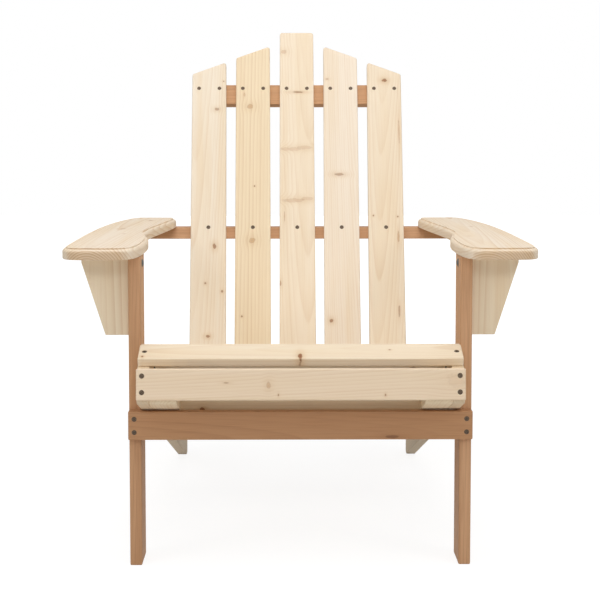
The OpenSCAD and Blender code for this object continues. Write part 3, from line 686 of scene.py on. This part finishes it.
# ---------------------------------------------------------------- Back slats
# Five softwood slats in a fan, each sawn to a slanted top with rounded corners, the
# middle one square. They are screwed from the front to three rails behind them. Lengths
# along a slat count up its front face from a line at back_datum.
slat_width, slat_thickness = 0.070, 0.015
slat_foot, slat_high = -0.1724, 0.6815
slat_drops = [0.071, 0.033, 0, 0.033, 0.071]
top_corner = 0.005
slat_pitch = 0.0862
top_fall = 0.0275
fan = math.radians(0.42)
back_datum = beside(0.49102, 0.283)
back_in = Vector((0, math.cos(recline), -math.sin(recline)))
slat_looks = [
    dict(early=paint(248, 234, 213), seed=81, pith=(-0.03, -0.06), lean=(0.02, 0.02), contrast=0.34,
         knots=[(0.2807, 0.0162, 0.0035, 0.005, 0.5), (-0.0229, 0.0122, 0.006, 0.0035, 0.7),
                (-0.1005, -0.0051, 0.0022, 0.002, 0.6), (-0.1176, 0.0275, 0.0025, 0.002, 0.6),
                (-0.2092, 0.0004, 0.003, 0.004, 0.7), (0.3458, 0.0298, 0.0014, 0.0014, 0.6)]),
    dict(early=paint(247, 227, 194), seed=84, pith=(-0.07, -0.03), lean=(0.01, 0.01), contrast=0.6,
         ring=0.0068,
         knots=[(0.2687, -0.006, 0.0055, 0.0065, 0.42), (-0.0292, -0.0016, 0.006, 0.0065, 0.45),
                (0.0886, 0.0032, 0.0014, 0.0014, 0.8), (-0.1876, -0.0212, 0.0018, 0.0016, 0.7),
                (0.2955, -0.0175, 0.004, 0.002, 0.3)]),
    dict(early=paint(250, 233, 208), seed=87, pith=(0.02, -0.07), lean=(0.01, 0.03), contrast=0.32,
         knots=[(0.3807, -0.0265, 0.0045, 0.006, 0.3), (0.2853, 0.0027, 0.002, 0.011, 0.65),
                (0.1547, -0.012, 0.004, 0.022, 0.22), (0.1585, 0.016, 0.004, 0.018, 0.2),
                (0.0409, -0.008, 0.0045, 0.024, 0.26), (0.0445, 0.02, 0.004, 0.014, 0.2),
                (0.0064, -0.0253, 0.010, 0.0012, 0.4), (-0.1357, -0.0332, 0.006, 0.0018, 0.5)]),
    dict(early=paint(250, 235, 215), seed=91, pith=(0.05, -0.05), lean=(-0.01, 0.02), contrast=0.4,
         ring=0.0034,
         knots=[(0.1144, -0.0038, 0.0030, 0.009, 0.5), (-0.1967, -0.0214, 0.004, 0.0035, 0.7),
                (0.3322, -0.0279, 0.0022, 0.003, 0.4)]),
    dict(early=paint(247, 230, 205), seed=95, pith=(-0.012, -0.05), lean=(0.03, 0.03), contrast=0.5,
         knots=[(0.3484, 0.0005, 0.004, 0.0055, 0.8), (-0.0018, 0.024, 0.012, 0.0022, 0.45),
                (-0.1571, 0.0231, 0.012, 0.002, 0.5), (0.0428, -0.025, 0.0016, 0.0014, 0.7),
                (0.0411, 0.0233, 0.0016, 0.0014, 0.7), (0.2300, 0.0290, 0.030, 0.0014, 0.45)]),
]
for number in range(1, 6):
    node = "back_slat_%d" % number
    offset = number - 3
    turning = Matrix.Rotation(-recline, 3, "X") @ Matrix.Rotation(offset * fan, 3, "Y")
    turn = turning.to_euler()
    high = slat_high - slat_drops[number - 1]
    length = high - slat_foot
    foot_line = back_datum + Vector((offset * slat_pitch, 0, 0)) + back_in * slat_thickness / 2
    centre = foot_line + turning @ Vector((0, 0, (high + slat_foot) / 2))
    slat = board(node + "_board", (slat_width, slat_thickness, length), centre, turn)
    hand = (offset > 0) - (offset < 0)
    inner_top = centre + turning @ Vector((-hand * slat_width / 2, 0, length / 2))
    outer_top = centre + turning @ Vector((hand * slat_width / 2, 0, length / 2 - top_fall))
    if offset:
        saw(slat, inner_top, turning @ Vector((hand * top_fall, 0, slat_width)))
    else:
        inner_top = centre + turning @ Vector((-slat_width / 2, 0, length / 2))
        outer_top = centre + turning @ Vector((slat_width / 2, 0, length / 2))
    round_corner(slat, inner_top, top_corner)
    round_corner(slat, outer_top, top_corner)
    ease(slat, radius=0.0022)
    drill(slat, "top_batten_screws", screw_bore, screw_mouth)
    drill(slat, "arm_rail_screws", screw_bore, screw_mouth)
    drill(slat, "lower_rail_slat_screws", screw_bore, screw_mouth)
    wood = timber(node + "_wood", centre, turn, grain="Z", face="X", **slat_looks[number - 1])
    fit(slat, wood, "softwood", node)


# ---------------------------------------------------------------- Top batten
# A hardwood batten flat against the back of the slats, which keeps the fan in shape.
# Two screws through each slat hold it.
middle, size = middle_and_size("top_batten")
batten_thickness = 0.015
batten = board("top_batten_board", (size.x, batten_thickness, batten_width), middle, (-recline, 0, 0))
ease(batten, radius=0.0015)
drill(batten, "top_batten_screws", screw_bore)
wood = timber("top_batten_wood", middle, Matrix.Rotation(-recline, 3, "X").to_euler(), grain="X",
              face="Z", wood=HARDWOOD, pith=(0.03, 0.06), lean=(0.01, 0.02), seed=104,
              early=paint(212, 166, 124))
fit(batten, wood, "hardwood", "top_batten")


# ---------------------------------------------------------------- Arm rail
# A hardwood rail behind the slats, with its front face planed to their lean. It takes
# the rear ends of both arms, and one screw through each slat.
low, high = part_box("arm_rail")
middle, size = middle_and_size("arm_rail")
arm_rail = board("arm_rail_board", size, middle)
saw(arm_rail, low, -back_in)
ease(arm_rail, radius=0.0015)
drill(arm_rail, "arm_rail_screws", screw_bore)
drill(arm_rail, "arm_end_screws", screw_bore, screw_mouth)
wood = timber("arm_rail_wood", middle, grain="X", face="Z", wood=HARDWOOD, pith=(0.04, 0.05),
              lean=(0.02, 0.02), seed=108)
fit(arm_rail, wood, "hardwood", "arm_rail")


# ---------------------------------------------------------------- Arm brackets
# A softwood plank outside each leg, upright grain, sawn to a taper below a short lip.
# The arm rests on it, and a bolt through the leg holds it.
bracket_lip = 0.012
taper_height, taper_width = 0.115, 0.037
for side, seed, hand in (("left", 113, -1), ("right", 117, 1)):
    node = "arm_bracket_" + side
    low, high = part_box(node)
    middle, size = middle_and_size(node)
    bracket = board(node + "_plank", size, middle)
    outer = high.x if hand > 0 else low.x
    saw(bracket, (outer, middle.y, high.z - bracket_lip), (hand * taper_height, 0, -taper_width))
    ease(bracket, radius=0.0015)
    drill(bracket, "bracket_bolts", bolt_bore)
    wood = timber(node + "_wood", middle, grain="Z", face="X", pith=(hand * 0.012, 0.08), seed=seed,
                  lean=(0.0, 0.01), contrast=0.5, ring=0.0036, early=paint(250, 234, 206))
    fit(bracket, wood, "softwood", node)


# ---------------------------------------------------------------- Arms
# Softwood boards sawn to a wide, waisted outline. A router has gone round the top edge
# and left a small upright step with a quarter-round below it. The right arm's outline
# is given as (share of its length, millimetres in from the leg or from its outer side).
arm_inner = [(0, 36), (0.008, 20), (0.03, 7), (0.09, 0), (0.17, -2), (0.26, -1), (0.34, 4),
             (0.42, 13), (0.48, 17), (0.54, 16), (0.62, 12), (0.71, 5), (0.82, -3), (0.92, -9),
             (0.965, -10), (0.993, -3), (1, 12)]
arm_outer = [(1, 58), (0.985, 44), (0.93, 32), (0.83, 19), (0.7, 9), (0.56, 3.4), (0.4, 0.6),
             (0.22, 0), (0.09, 0.3), (0.045, 2.5), (0.016, 10), (0.004, 24), (0, 46)]
arm_front = front - 0.060
arm_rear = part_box("arm_rail")[1].y - 0.003
arm_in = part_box("side_rail_right")[1].x
arm_width = 0.119
arm_out = arm_in + arm_width
curve_steps = 4
flat_edge, round_edge, step_rise = 0.0100, 0.0060, 0.0020
round_steps = 5
quarter = math.radians(90)
under_ease = 0.0012
arm_knots = {
    "left": [(0.045, -0.010, 0.004, 0.005, 0.7), (-0.066, 0.004, 0.003, 0.003, 0.5),
             (0.26, 0.020, 0.006, 0.004, 0.6)],
    "right": [(0.10, 0.012, 0.003, 0.003, 0.5), (-0.12, -0.02, 0.003, 0.003, 0.4)],
}


def smooth_loop(points, steps):
    """A smooth closed curve through points."""
    loop = []
    for i in range(len(points)):
        a, b, c, d = (points[(i + j) % len(points)] for j in (-1, 0, 1, 2))
        for step in range(steps):
            t = step / steps
            loop.append(b + 0.5 * t * (c - a + t * (2 * a - 5 * b + 4 * c - d + t * (3 * (b - c) + d - a))))
    return loop


outline = [Vector((arm_in + inset / 1000, arm_front + share * (arm_rear - arm_front)))
           for share, inset in arm_inner]
outline += [Vector((arm_out - inset / 1000, arm_front + share * (arm_rear - arm_front)))
            for share, inset in arm_outer]
outline = smooth_loop(outline, curve_steps)
for side, seed, hand in (("left", 123, -1), ("right", 127, 1)):
    node = "arm_" + side
    low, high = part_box(node)
    bpy.ops.object.select_all(action="DESELECT")
    bpy.ops.mesh.primitive_circle_add(vertices=len(outline), radius=0.1, fill_type="NGON",
                                      location=(0, 0, low.z))
    arm = bpy.context.active_object
    arm.name = arm.data.name = node + "_board"
    settle(arm)
    rim = outline if hand < 0 else outline[::-1]
    for vertex, point in zip(arm.data.vertices, rim):
        vertex.co.x, vertex.co.y = hand * point.x, point.y
    pick_up(arm)
    bpy.ops.object.mode_set(mode="EDIT")
    bpy.ops.mesh.select_mode(type="FACE")
    bpy.ops.mesh.select_all(action="SELECT")
    bpy.ops.mesh.extrude_region_move(TRANSFORM_OT_translate={"value": (0, 0, flat_edge)})
    for step in range(1, round_steps + 1):
        before, after = quarter * (step - 1) / round_steps, quarter * step / round_steps
        bpy.ops.mesh.inset(thickness=round_edge * (math.cos(before) - math.cos(after)),
                           depth=round_edge * (math.sin(after) - math.sin(before)),
                           use_even_offset=True)
    bpy.ops.mesh.extrude_region_move(TRANSFORM_OT_translate={"value": (0, 0, step_rise)})
    bpy.ops.mesh.select_all(action="SELECT")
    bpy.ops.mesh.normals_make_consistent(inside=False)
    bpy.ops.object.mode_set(mode="OBJECT")
    rims = {edge.index for edge in arm.data.edges
            if all(abs(arm.data.vertices[v].co.z - low.z) < 0.0001 for v in edge.vertices)}
    choose_edges(arm, rims)
    bpy.ops.mesh.bevel(offset=under_ease, segments=2, profile=0.5)
    bpy.ops.object.mode_set(mode="OBJECT")
    drill(arm, "arm_end_screws", screw_bore)
    middle, size = middle_and_size(node)
    wood = timber(node + "_wood", middle, grain="Y", face="X", pith=(-0.012, -0.034), seed=seed,
                  lean=(0.02, 0.012), contrast=0.9, ring=0.0036, early=paint(246, 230, 209),
                  wander=0.011,
                  knots=arm_knots[side])
    fit(arm, wood, "softwood", node)


# ---------------------------------------------------------------- Dowels
# Plain turned dowels, two between each bracket and its arm, so that no screw shows on
# top of the arms. Only their CAD bodies are needed.
dowel_wood = timber("dowel_wood", middle_and_size("arm_dowels")[0], grain="Z", face="X", seed=131,
                    pith=(0.0, 0.02), early=paint(222, 190, 146), ring=0.0016)
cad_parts["arm_dowels"].data.materials.clear()
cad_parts["arm_dowels"].data.materials.append(dowel_wood)


# ---------------------------------------------------------------- Wood screws
# Dark plated countersunk wood screws with a cross recess, their heads just under the
# wood's face. Each set of screws that holds one kind of board is one piece.
def plating(name, base, worn, roughness):
    """Plated steel, dulled in patches."""
    material = bpy.data.materials.new(name)
    material.use_nodes = True
    nodes = Nodes(material.node_tree)
    place = nodes.add("TexCoord", output="Object")
    patches = nodes.rise(nodes.add("TexNoise", {}, {"Vector": place, "Scale": 900, "Detail": 3}),
                         0.4, 0.62)
    grit = nodes.add("TexNoise", {}, {"Vector": place, "Scale": 4200, "Detail": 2})
    bump = nodes.add("Bump", {}, {"Strength": 0.2, "Distance": 0.0001, "Height": grit})
    shader = nodes.add("BsdfPrincipled", {}, {
        "Base Color": nodes.blend(patches, base, worn), "Metallic": 0.85,
        "Roughness": roughness + patches * 0.15, "Normal": bump})
    nodes.add("OutputMaterial", {}, {0: shader})
    return material


screw_plating = plating("screw_plating", paint(74, 62, 51), paint(112, 97, 82), 0.42)
head_radius, shank_radius, head_depth = 0.004, 0.002, 0.002
head_rim = 0.0002
thread_pitch, thread_root = 0.0018, 0.0015
smooth_share = 0.3
point_length, point_radius = 0.004, 0.0001
recess_size, recess_taper = (0.0044, 0.0009, 0.0026), 0.45


def taper(length, radius, now):
    """Draws the selected end of a turned piece down by a length, to a new radius."""
    bpy.ops.mesh.extrude_region_move(TRANSFORM_OT_translate={"value": (0, 0, -length)})
    bpy.ops.transform.resize(value=(radius / now, radius / now, 1), center_override=(0, 0, 0))
    return radius


def wood_screw(length):
    """A screw with its head's face at the origin and its point down."""
    bpy.ops.object.select_all(action="DESELECT")
    bpy.ops.mesh.primitive_circle_add(vertices=20, radius=head_radius - head_rim, fill_type="NGON")
    screw = bpy.context.active_object
    bpy.ops.object.mode_set(mode="EDIT")
    bpy.ops.mesh.select_mode(type="FACE")
    bpy.ops.mesh.select_all(action="SELECT")
    now = taper(head_rim, head_radius, head_radius - head_rim)
    now = taper(head_depth - head_rim, shank_radius, now)
    smooth = length * smooth_share
    now = taper(smooth - head_depth, shank_radius, now)
    turns = int((length - smooth - point_length) / thread_pitch)
    # Each turn goes down into the groove, along its floor and out to the crest
    for _ in range(turns):
        now = taper(thread_pitch * 0.3, thread_root, now)
        now = taper(thread_pitch * 0.5, thread_root, now)
        now = taper(thread_pitch * 0.2, shank_radius, now)
    taper(length - smooth - turns * thread_pitch, point_radius, now)
    bpy.ops.mesh.select_all(action="SELECT")
    bpy.ops.mesh.normals_make_consistent(inside=False)
    bpy.ops.object.mode_set(mode="OBJECT")
    for turn in (0, math.pi / 2):
        bpy.ops.object.select_all(action="DESELECT")
        bpy.ops.mesh.primitive_cube_add(size=1, rotation=(0, 0, turn))
        driver = bpy.context.active_object
        driver.scale = recess_size
        settle(driver)
        bpy.ops.object.mode_set(mode="EDIT")
        bpy.ops.mesh.select_mode(type="FACE")
        bpy.ops.mesh.select_all(action="DESELECT")
        bpy.ops.object.mode_set(mode="OBJECT")
        for face in driver.data.polygons:
            face.select = face.normal.z < -0.9
        bpy.ops.object.mode_set(mode="EDIT")
        bpy.ops.transform.resize(value=(recess_taper, recess_taper, 1), center_override=(0, 0, 0))
        bpy.ops.object.mode_set(mode="OBJECT")
        cut = screw.modifiers.new("recess", "BOOLEAN")
        cut.operation, cut.solver, cut.object = "DIFFERENCE", "EXACT", driver
        pick_up(screw)
        bpy.ops.object.modifier_apply(modifier=cut.name)
        bpy.data.objects.remove(driver)
    return screw


for node in ("apron_screws", "front_slat_screws", "seat_slat_screws", "nose_block_screws",
             "cross_rail_screws", "top_batten_screws", "arm_rail_screws", "lower_rail_slat_screws",
             "lower_rail_end_screws", "arm_end_screws"):
    ends = fixings(node)
    model = wood_screw((ends[0][1] - ends[0][0]).length)
    copies = []
    for head, tip in ends:
        copy = bpy.data.objects.new(node + "_copy", model.data.copy())
        bpy.context.collection.objects.link(copy)
        turned = Matrix.Rotation(chance.uniform(0, math.pi), 4, "Z")
        aimed = (tip - head).to_track_quat("-Z", "Y").to_matrix().to_4x4()
        copy.data.transform(Matrix.Translation(head) @ aimed @ turned)
        copies.append(copy)
    bpy.data.objects.remove(model)
    pick_up(copies[0])
    for copy in copies:
        copy.select_set(True)
    bpy.ops.object.join()
    screws = bpy.context.active_object
    screws.name = screws.data.name = node + "_set"
    fit(screws, screw_plating, "screw_steel", node)


# ---------------------------------------------------------------- Bolts
# Zinc-plated bolts with a domed head hold each bracket through its leg, and each side
# rail to the threaded inserts in its leg, over flat washers. Their CAD bodies stay.
zinc = plating("zinc_plating", paint(88, 88, 86), paint(118, 118, 115), 0.36)
for node in ("bracket_bolts", "leg_bolts", "leg_washers", "leg_inserts"):
    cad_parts[node].data.materials.clear()
    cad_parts[node].data.materials.append(zinc)


# ---------------------------------------------------------------- Finished size
# The finished model's box, over every shown piece but the floor.
low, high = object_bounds()
